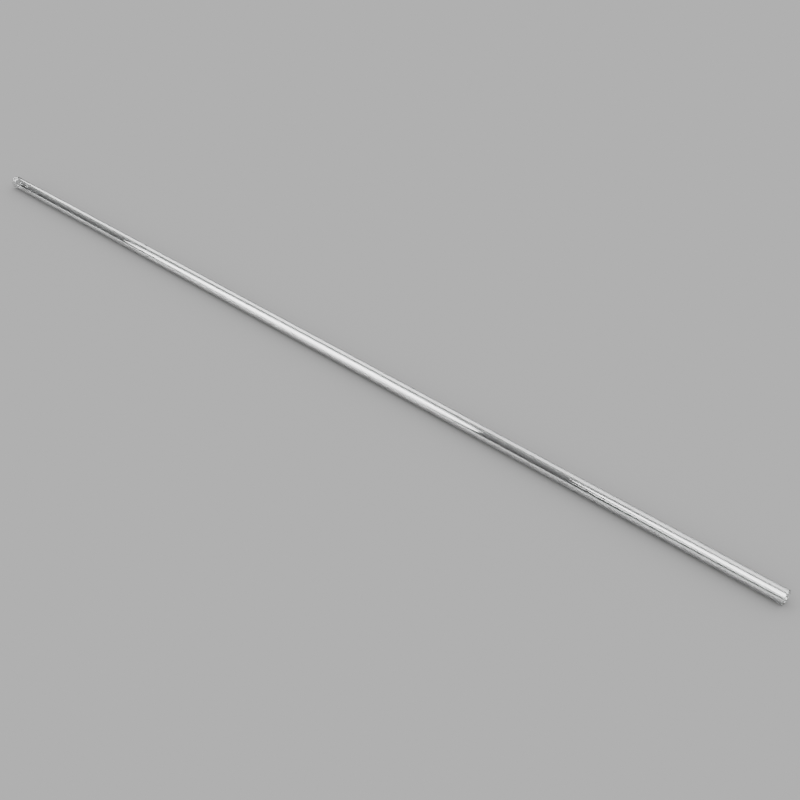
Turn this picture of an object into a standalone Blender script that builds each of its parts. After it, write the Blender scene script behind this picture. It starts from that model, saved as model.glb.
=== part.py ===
"""Inner condensing tube of a Liebig condenser: one straight drawn glass tube with both ends fire-polished.

Metres, +Z up. The tube's axis is the X axis, and the origin is at the middle of its length.
Run it with: blender --background --python part.py
"""

import math

import bpy

# Driving dimensions of the tube
TUBE_LENGTH = 0.600
OUTER_DIAMETER = 0.008
WALL = 0.001

# Fire-polished mouths: the flame rounds both corners of the cut wall and draws the bore in a little
OUTER_ROUNDING = 0.00035
INNER_ROUNDING = 0.00035
MOUTH_DRAW_IN = 0.0001
DRAW_IN_LENGTH = 0.0022

# Facets: one facet is flat underneath, for the tube to rest on, and broad enough to keep it from rolling
SIDES = 32
ROUNDING_STEPS = 5
DRAW_IN_STEPS = 4

OUTER_RADIUS = OUTER_DIAMETER / 2
BORE_RADIUS = OUTER_RADIUS - WALL
MOUTH_RADIUS = BORE_RADIUS - MOUTH_DRAW_IN
MERGE_DISTANCE = 0.00001

COLLECTION_NAME = "liebig_condenser_inner_tube"
NODE_NAME = "inner_condensing_tube"

GLASS_COLOUR = (0.93, 0.96, 0.96, 1.0)
GLASS_ROUGHNESS = 0.03
GLASS_IOR = 1.473


def clear_scene():
    for scene_object in list(bpy.data.objects):
        bpy.data.objects.remove(scene_object, do_unlink=True)


def corner(centre_radius, centre_height, rounding, start_degrees, end_degrees):
    """Points of a rounded corner, as (radius, height), from one angle to the other."""
    points = []
    for step in range(ROUNDING_STEPS + 1):
        share = step / ROUNDING_STEPS
        angle = math.radians(start_degrees + (end_degrees - start_degrees) * share)
        radius = centre_radius + rounding * math.cos(angle)
        height = centre_height + rounding * math.sin(angle)
        points.append((radius, height))
    return points


def drawn_in_bore(half_length):
    """The bore from just inside the mouth to its full radius, on a smooth S-shaped curve."""
    start = half_length - INNER_ROUNDING
    points = []
    for step in range(1, DRAW_IN_STEPS + 1):
        share = step / DRAW_IN_STEPS
        ease = (1 - math.cos(math.pi * share)) / 2
        points.append((MOUTH_RADIUS + MOUTH_DRAW_IN * ease, start - DRAW_IN_LENGTH * share))
    return points


def upper_mouth():
    """The wall's section at the upper end, from the bore, over the rim, to the outside."""
    half_length = TUBE_LENGTH / 2
    outside = corner(OUTER_RADIUS - OUTER_ROUNDING, half_length - OUTER_ROUNDING, OUTER_ROUNDING, 0, 90)
    inside = corner(MOUTH_RADIUS + INNER_ROUNDING, half_length - INNER_ROUNDING, INNER_ROUNDING, 90, 180)
    over_the_rim = outside + inside + drawn_in_bore(half_length)
    return over_the_rim[::-1]


def wall_section():
    """The whole wall's section as a closed loop: over the upper rim, down the outside, up the bore."""
    upper = upper_mouth()
    lower = [(radius, -height) for radius, height in reversed(upper)]
    return upper + lower


def turned_mesh(name, section):
    """A mesh that holds the closed section in the XZ plane, for the Screw modifier to turn about Z."""
    mesh = bpy.data.meshes.new(name)
    vertices = [(radius, 0, height) for radius, height in section]
    edges = [(index, (index + 1) % len(vertices)) for index in range(len(vertices))]
    mesh.from_pydata(vertices, edges, [])
    return mesh


def glass_material():
    material = bpy.data.materials.new("borosilicate_glass")
    material.use_nodes = True
    shader = material.node_tree.nodes["Principled BSDF"]
    shader.inputs["Base Color"].default_value = GLASS_COLOUR
    shader.inputs["Roughness"].default_value = GLASS_ROUGHNESS
    shader.inputs["Metallic"].default_value = 0.0
    shader.inputs["IOR"].default_value = GLASS_IOR
    shader.inputs["Transmission Weight"].default_value = 1.0
    return material


def make_tube(collection):
    tube = bpy.data.objects.new(NODE_NAME, turned_mesh(NODE_NAME, wall_section()))
    collection.objects.link(tube)
    tube.data.materials.append(glass_material())

    turn = tube.modifiers.new("turn", "SCREW")
    turn.axis = "Z"
    turn.angle = math.tau
    turn.steps = SIDES
    turn.render_steps = SIDES
    turn.use_merge_vertices = True
    turn.merge_threshold = MERGE_DISTANCE
    turn.use_smooth_shade = True

    # Half a facet's roll about the turning axis puts a facet underneath, then that axis is laid along X.
    tube.rotation_mode = "ZYX"
    tube.rotation_euler = (0, math.pi / 2, math.pi / SIDES)


def main():
    clear_scene()
    collection = bpy.data.collections.new(COLLECTION_NAME)
    bpy.context.scene.collection.children.link(collection)
    make_tube(collection)


main()
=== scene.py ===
import math

import bpy
from mathutils import Matrix, Vector


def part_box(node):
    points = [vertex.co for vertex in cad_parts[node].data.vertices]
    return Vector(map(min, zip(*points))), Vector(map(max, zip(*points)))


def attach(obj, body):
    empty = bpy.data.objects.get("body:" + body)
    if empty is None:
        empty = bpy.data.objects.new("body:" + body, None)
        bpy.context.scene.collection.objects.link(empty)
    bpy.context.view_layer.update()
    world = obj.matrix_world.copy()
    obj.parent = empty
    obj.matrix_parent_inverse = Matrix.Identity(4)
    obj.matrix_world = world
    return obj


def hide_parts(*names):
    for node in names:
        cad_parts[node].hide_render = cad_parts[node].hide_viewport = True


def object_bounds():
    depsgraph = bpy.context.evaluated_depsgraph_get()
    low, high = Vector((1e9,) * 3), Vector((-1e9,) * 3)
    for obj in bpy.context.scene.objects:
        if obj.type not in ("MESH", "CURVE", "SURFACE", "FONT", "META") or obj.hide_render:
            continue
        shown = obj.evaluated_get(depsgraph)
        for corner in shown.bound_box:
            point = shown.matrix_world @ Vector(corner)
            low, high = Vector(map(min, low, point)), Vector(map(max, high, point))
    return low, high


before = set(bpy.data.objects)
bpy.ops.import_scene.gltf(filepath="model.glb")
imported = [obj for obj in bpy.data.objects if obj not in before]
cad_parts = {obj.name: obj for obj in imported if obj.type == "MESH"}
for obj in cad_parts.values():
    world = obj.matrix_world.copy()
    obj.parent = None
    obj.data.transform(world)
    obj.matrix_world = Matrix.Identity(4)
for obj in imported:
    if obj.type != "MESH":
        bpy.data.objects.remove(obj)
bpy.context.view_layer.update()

tubeNode = "inner_condensing_tube"
tubeLow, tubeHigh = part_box(tubeNode)


def deselectAll():
    if bpy.context.mode != "OBJECT":
        bpy.ops.object.mode_set(mode="OBJECT")
    bpy.ops.object.select_all(action="DESELECT")


def pickOnly(piece):
    deselectAll()
    piece.select_set(True)
    bpy.context.view_layer.objects.active = piece


# Selects what passes the test, on the piece that is in edit mode.
def selectWhere(piece, kind, test):
    selectMode = {"vertices": "VERT", "edges": "EDGE"}[kind]
    bpy.ops.mesh.select_mode(type=selectMode)
    bpy.ops.mesh.select_all(action="DESELECT")
    bpy.ops.object.mode_set(mode="OBJECT")
    for item in getattr(piece.data, kind):
        item.select = test(item)
    bpy.ops.object.mode_set(mode="EDIT")


def applyModifiers(piece):
    pickOnly(piece)
    for modifier in list(piece.modifiers):
        bpy.ops.object.modifier_apply(modifier=modifier.name)


# The tube: the outline of its wall, cut through lengthwise, is spun around the X axis

tube = {
    "outerRadius": 0.004,
    "wall": 0.001,
    "sides": 144,
    "rings": 95,  # cuts along the length, which carry the slow waver of drawn glass
    "mouthRings": 6,  # extra cuts behind each mouth
    "drawIn": 0.00025,  # the flame draws the bore in at its mouth
    "drawInReach": 0.0045,
    "rimRounding": 0.00055,  # and rounds both corners of the thickened rim
    "rimSegments": 9,
    "waver": 0.000015,
    "waverLength": 0.075,
    "mergeWithin": 0.000001,
    "mouthMargin": 0.00001,  # vertices closer to the end than this are the mouth's
}
halfLength = (tubeHigh.x - tubeLow.x) / 2
boreRadius = tube["outerRadius"] - tube["wall"]
wallMiddle = boreRadius + tube["wall"] / 2
atMouth = halfLength - tube["mouthMargin"]


def addWallOutline():
    deselectAll()
    bpy.ops.mesh.primitive_plane_add(size=1, location=(0, 0, wallMiddle), rotation=(math.pi / 2, 0, 0))
    piece = bpy.context.object
    piece.name = "condensing_tube_glass"
    piece.scale = (halfLength * 2, tube["wall"], 1)
    bpy.ops.object.transform_apply(location=True, rotation=True, scale=True)
    bpy.ops.object.mode_set(mode="EDIT")
    bpy.ops.mesh.select_mode(type="FACE")
    bpy.ops.mesh.select_all(action="SELECT")
    bpy.ops.mesh.delete(type="ONLY_FACE")  # the outline is what gets spun
    return piece


def cutLengthwise(piece):
    def runLength(edge):
        first, second = (piece.data.vertices[index].co.x for index in edge.vertices)
        return abs(first - second)

    def reach(edge):
        return max(abs(piece.data.vertices[index].co.x) for index in edge.vertices)

    selectWhere(piece, "edges", lambda edge: runLength(edge) > halfLength)
    bpy.ops.mesh.subdivide(number_cuts=tube["rings"])
    selectWhere(piece, "edges", lambda edge: runLength(edge) > tube["wall"] and reach(edge) > atMouth)
    bpy.ops.mesh.subdivide(number_cuts=tube["mouthRings"])


# The outside is hidden while the bore moves, so that it stays straight.
def drawInMouths(piece):
    selectWhere(piece, "vertices", lambda vertex: vertex.co.z > wallMiddle)
    bpy.ops.mesh.hide()
    for end in (-1, 1):
        selectWhere(piece, "vertices", lambda vertex: end * vertex.co.x > atMouth and not vertex.hide)
        bpy.ops.transform.translate(
            value=(0, 0, -tube["drawIn"]), use_proportional_edit=True, use_proportional_connected=True,
            proportional_edit_falloff="SMOOTH", proportional_size=tube["drawInReach"])
    bpy.ops.mesh.reveal(select=False)


def roundRims(piece):
    selectWhere(piece, "vertices", lambda vertex: abs(vertex.co.x) > atMouth)
    bpy.ops.mesh.bevel(
        offset=tube["rimRounding"], segments=tube["rimSegments"], profile=0.5, affect="VERTICES")


def spinRound():
    bpy.ops.mesh.select_mode(type="EDGE")
    bpy.ops.mesh.select_all(action="SELECT")
    bpy.ops.mesh.spin(steps=tube["sides"], angle=2 * math.pi, center=(0, 0, 0), axis=(1, 0, 0))
    bpy.ops.mesh.select_all(action="SELECT")
    bpy.ops.mesh.remove_doubles(threshold=tube["mergeWithin"])
    bpy.ops.mesh.normals_make_consistent(inside=False)
    bpy.ops.object.mode_set(mode="OBJECT")


def waverTheWall(piece):
    slowNoise = bpy.data.textures.new("slow waver", "CLOUDS")
    slowNoise.noise_scale = tube["waverLength"]
    slowNoise.noise_depth = 1
    waver = piece.modifiers.new("waver", "DISPLACE")
    waver.texture = slowNoise
    waver.texture_coords = "LOCAL"
    waver.strength = tube["waver"]
    waver.mid_level = 0.5
    applyModifiers(piece)


print("tube: outline of the wall, cuts, mouths, rims, spin, waver")
glassTube = addWallOutline()
cutLengthwise(glassTube)
drawInMouths(glassTube)
roundRims(glassTube)
spinRound()
waverTheWall(glassTube)
pickOnly(glassTube)
bpy.ops.object.shade_smooth()
print("tube faces:", len(glassTube.data.polygons))


# Node groups: what happens to the surface of drawn glass

drawLines = {"perMetre": 900.0, "stretch": 0.01, "detail": 3.0}
dustSpecks = {"perMetre": 600.0, "size": 0.16, "patchScale": 60.0, "patchDetail": 2.0}


def addSocket(group, name, kind, inOut, value=None):
    socket = group.interface.new_socket(name=name, in_out=inOut, socket_type=kind)
    if value is not None:
        socket.default_value = value


def join(tree, fromNode, output, toNode, socket):
    tree.links.new(fromNode.outputs[output], toNode.inputs[socket])


# Faint ridges and grooves that run the length of the tube, left by drawing it
def drawLinesGroup():
    group = bpy.data.node_groups.new("draw lines", "ShaderNodeTree")
    addSocket(group, "Lines Per Metre", "NodeSocketFloat", "INPUT", drawLines["perMetre"])
    addSocket(group, "Stretch", "NodeSocketFloat", "INPUT", drawLines["stretch"])
    addSocket(group, "Height", "NodeSocketFloat", "OUTPUT")
    nodes = group.nodes
    inlet = nodes.new("NodeGroupInput")
    outlet = nodes.new("NodeGroupOutput")
    place = nodes.new("ShaderNodeTexCoord")
    squeeze = nodes.new("ShaderNodeCombineXYZ")
    squeeze.inputs["Y"].default_value = 1.0
    squeeze.inputs["Z"].default_value = 1.0
    along = nodes.new("ShaderNodeVectorMath")
    along.operation = "MULTIPLY"
    noise = nodes.new("ShaderNodeTexNoise")
    noise.inputs["Detail"].default_value = drawLines["detail"]
    join(group, inlet, "Stretch", squeeze, "X")
    join(group, place, "Object", along, 0)
    join(group, squeeze, "Vector", along, 1)
    join(group, along, "Vector", noise, "Vector")
    join(group, inlet, "Lines Per Metre", noise, "Scale")
    join(group, noise, "Fac", outlet, "Height")
    return group


# Dust and dried water spots: a mask of small specks, thicker in some places than others
def specksGroup():
    group = bpy.data.node_groups.new("dust specks", "ShaderNodeTree")
    addSocket(group, "Specks Per Metre", "NodeSocketFloat", "INPUT", dustSpecks["perMetre"])
    addSocket(group, "Size", "NodeSocketFloat", "INPUT", dustSpecks["size"])
    addSocket(group, "Mask", "NodeSocketFloat", "OUTPUT")
    nodes = group.nodes
    inlet = nodes.new("NodeGroupInput")
    outlet = nodes.new("NodeGroupOutput")
    place = nodes.new("ShaderNodeTexCoord")
    cells = nodes.new("ShaderNodeTexVoronoi")
    cells.inputs["Randomness"].default_value = 1.0
    edge = nodes.new("ShaderNodeMath")
    edge.operation = "LESS_THAN"
    patches = nodes.new("ShaderNodeTexNoise")
    patches.inputs["Scale"].default_value = dustSpecks["patchScale"]
    patches.inputs["Detail"].default_value = dustSpecks["patchDetail"]
    often = nodes.new("ShaderNodeMath")
    often.operation = "MULTIPLY"
    join(group, place, "Object", cells, "Vector")
    join(group, inlet, "Specks Per Metre", cells, "Scale")
    join(group, place, "Object", patches, "Vector")
    join(group, patches, "Fac", often, 0)
    join(group, inlet, "Size", often, 1)
    join(group, cells, "Distance", edge, 0)
    join(group, often, "Value", edge, 1)
    join(group, edge, "Value", outlet, "Mask")
    return group


# Glass

glassLook = {
    "colour": (0.985, 0.99, 0.99, 1),
    "ior": 1.473,
    "roughness": 0.012,
    "speckRoughness": 0.35,
    "lineDepth": 0.0000015,
    "bumpStrength": 0.35,
    "coat": 1.0,
    "coatIor": 2.0,
    "absorbedColour": (0.80, 0.815, 0.81, 1),
    "absorption": 200.0,
    "shadowColour": (0.40, 0.40, 0.40, 1),
}


def drawnGlass():
    material = bpy.data.materials.new("drawn borosilicate glass")
    material.use_nodes = True
    tree = material.node_tree
    nodes = tree.nodes
    shader = nodes["Principled BSDF"]
    shader.inputs["Base Color"].default_value = glassLook["colour"]
    shader.inputs["IOR"].default_value = glassLook["ior"]
    shader.inputs["Transmission Weight"].default_value = 1.0
    shader.inputs["Coat Weight"].default_value = glassLook["coat"]
    shader.inputs["Coat IOR"].default_value = glassLook["coatIor"]
    shader.inputs["Coat Roughness"].default_value = glassLook["roughness"]
    depth = nodes.new("ShaderNodeVolumeAbsorption")
    depth.inputs["Color"].default_value = glassLook["absorbedColour"]
    depth.inputs["Density"].default_value = glassLook["absorption"]
    join(tree, depth, "Volume", nodes["Material Output"], "Volume")
    lines = nodes.new("ShaderNodeGroup")
    lines.node_tree = drawLinesGroup()
    bump = nodes.new("ShaderNodeBump")
    bump.inputs["Strength"].default_value = glassLook["bumpStrength"]
    bump.inputs["Distance"].default_value = glassLook["lineDepth"]
    join(tree, lines, "Height", bump, "Height")
    join(tree, bump, "Normal", shader, "Normal")
    specks = nodes.new("ShaderNodeGroup")
    specks.node_tree = specksGroup()
    rough = nodes.new("ShaderNodeMix")
    rough.data_type = "FLOAT"
    rough.inputs["A"].default_value = glassLook["roughness"]
    rough.inputs["B"].default_value = glassLook["speckRoughness"]
    join(tree, specks, "Mask", rough, "Factor")
    join(tree, rough, "Result", shader, "Roughness")
    # lamps and the floor's own light go straight through the wall, so that the tube throws a light shadow
    rays = nodes.new("ShaderNodeLightPath")
    through = nodes.new("ShaderNodeBsdfTransparent")
    through.inputs["Color"].default_value = glassLook["shadowColour"]
    either = nodes.new("ShaderNodeMixShader")
    straight = nodes.new("ShaderNodeMath")
    straight.operation = "MAXIMUM"
    join(tree, rays, "Is Shadow Ray", straight, 0)
    join(tree, rays, "Is Diffuse Ray", straight, 1)
    join(tree, straight, "Value", either, 0)
    join(tree, shader, "BSDF", either, 1)
    join(tree, through, "BSDF", either, 2)
    join(tree, either, "Shader", nodes["Material Output"], "Surface")
    return material


print("glass")
glassTube.data.materials.clear()
glassTube.data.materials.append(drawnGlass())
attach(glassTube, "root")
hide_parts(tubeNode)


# Stage: a pale floor that an even sky lights, softboxes that light only the glass, and the camera

stage = {
    "floorSize": 40.0,
    "floorColour": (0.58, 0.58, 0.58, 1),
    "skyOnFloor": 1.0,
    "skyBehind": 0.58,  # as bright as the floor, so that no horizon shows
    "skyInGlass": 0.03,  # a dark room in the glass draws its outline
}
view = {
    "location": (0.3847, -0.3615, 0.3791), "azimuth": 41.07, "elevation": 38.92,
    "lens": 49.5, "sensorWidth": 36, "clipStart": 0.01}
# along: the place on the tube that a box faces; turn: degrees around the tube from the camera's side;
# lean: degrees from square on towards the tube's far end; round ones taper the bands in the glass
softboxes = {
    "front softbox": {
        "shape": "ELLIPSE", "along": -0.80, "distance": 1.0, "turn": 12, "lean": 0,
        "length": 0.87, "width": 1.3, "glow": 11},
    "overhead softbox": {
        "shape": "ELLIPSE", "along": 0.69, "distance": 1.0, "turn": -17, "lean": 0,
        "length": 1.78, "width": 1.0, "glow": 15},
    "back softbox": {
        "shape": "RECTANGLE", "along": 0.0, "distance": 1.0, "turn": -88, "lean": 0,
        "length": 3.2, "width": 0.9, "glow": 4.5},
    "end softbox": {
        "shape": "RECTANGLE", "along": -0.30, "distance": 0.7, "turn": -40, "lean": 76,
        "length": 0.3, "width": 0.5, "glow": 12},
}


def addFloor():
    deselectAll()
    bpy.ops.mesh.primitive_plane_add(size=stage["floorSize"], location=(0, 0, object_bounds()[0][2]))
    floor = bpy.context.object
    floor.name = "floor"
    paper = bpy.data.materials.new("matt paper")
    paper.use_nodes = True
    shader = paper.node_tree.nodes["Principled BSDF"]
    shader.inputs["Base Color"].default_value = stage["floorColour"]
    shader.inputs["Roughness"].default_value = 1.0
    shader.inputs["Specular IOR Level"].default_value = 0.0  # matt all the way to the horizon
    floor.data.materials.append(paper)


def lightRoom():
    world = bpy.data.worlds.new("studio sky")
    bpy.context.scene.world = world
    world.use_nodes = True
    tree = world.node_tree
    nodes = tree.nodes
    sky = nodes["Background"]
    sky.inputs["Color"].default_value = (1, 1, 1, 1)
    rays = nodes.new("ShaderNodeLightPath")
    throughGlass = nodes.new("ShaderNodeMath")
    throughGlass.operation = "MAXIMUM"
    join(tree, rays, "Is Glossy Ray", throughGlass, 0)
    join(tree, rays, "Is Transmission Ray", throughGlass, 1)
    plain = nodes.new("ShaderNodeMix")
    plain.inputs["A"].default_value = stage["skyOnFloor"]
    plain.inputs["B"].default_value = stage["skyBehind"]
    join(tree, rays, "Is Camera Ray", plain, "Factor")
    strength = nodes.new("ShaderNodeMix")
    strength.inputs["B"].default_value = stage["skyInGlass"]
    join(tree, throughGlass, "Value", strength, "Factor")
    join(tree, plain, "Result", strength, "A")
    join(tree, strength, "Result", sky, "Strength")


def addSoftbox(name, box, glassOnly):
    tubeAxis = Vector((1, 0, 0))
    towardCamera = Vector((0, view["location"][1], view["location"][2])).normalized()
    sideways = tubeAxis.cross(towardCamera)
    turn = math.radians(box["turn"])
    squareOn = towardCamera * math.cos(turn) + sideways * math.sin(turn)
    lean = math.radians(box["lean"])
    outward = squareOn * math.cos(lean) - tubeAxis * math.sin(lean)
    across = outward.cross(tubeAxis).normalized()
    lamp = bpy.data.lights.new(name, "AREA")
    lamp.shape = box["shape"]
    lamp.size = box["length"]
    lamp.size_y = box["width"]
    area = box["length"] * box["width"]
    if box["shape"] == "ELLIPSE":
        area *= math.pi / 4
    lamp.energy = box["glow"] * math.pi * area
    holder = bpy.data.objects.new(name, lamp)
    bpy.context.scene.collection.objects.link(holder)
    holder.location = tubeAxis * box["along"] + outward * box["distance"]
    holder.rotation_euler = Matrix((across.cross(outward), across, outward)).transposed().to_euler()
    holder.visible_camera = False
    holder.light_linking.receiver_collection = glassOnly


def addCamera():
    camera = bpy.data.objects.new("camera", bpy.data.cameras.new("camera"))
    bpy.context.scene.collection.objects.link(camera)
    camera.data.sensor_width = view["sensorWidth"]
    camera.data.lens = view["lens"]
    camera.data.clip_start = view["clipStart"]
    camera.location = view["location"]
    camera.rotation_euler = (math.radians(90 - view["elevation"]), 0, math.radians(view["azimuth"]))
    bpy.context.scene.camera = camera


print("stage")
addFloor()
lightRoom()
glassOnly = bpy.data.collections.new("lit by the softboxes")
glassOnly.objects.link(glassTube)
for name, box in softboxes.items():
    addSoftbox(name, box, glassOnly)
addCamera()
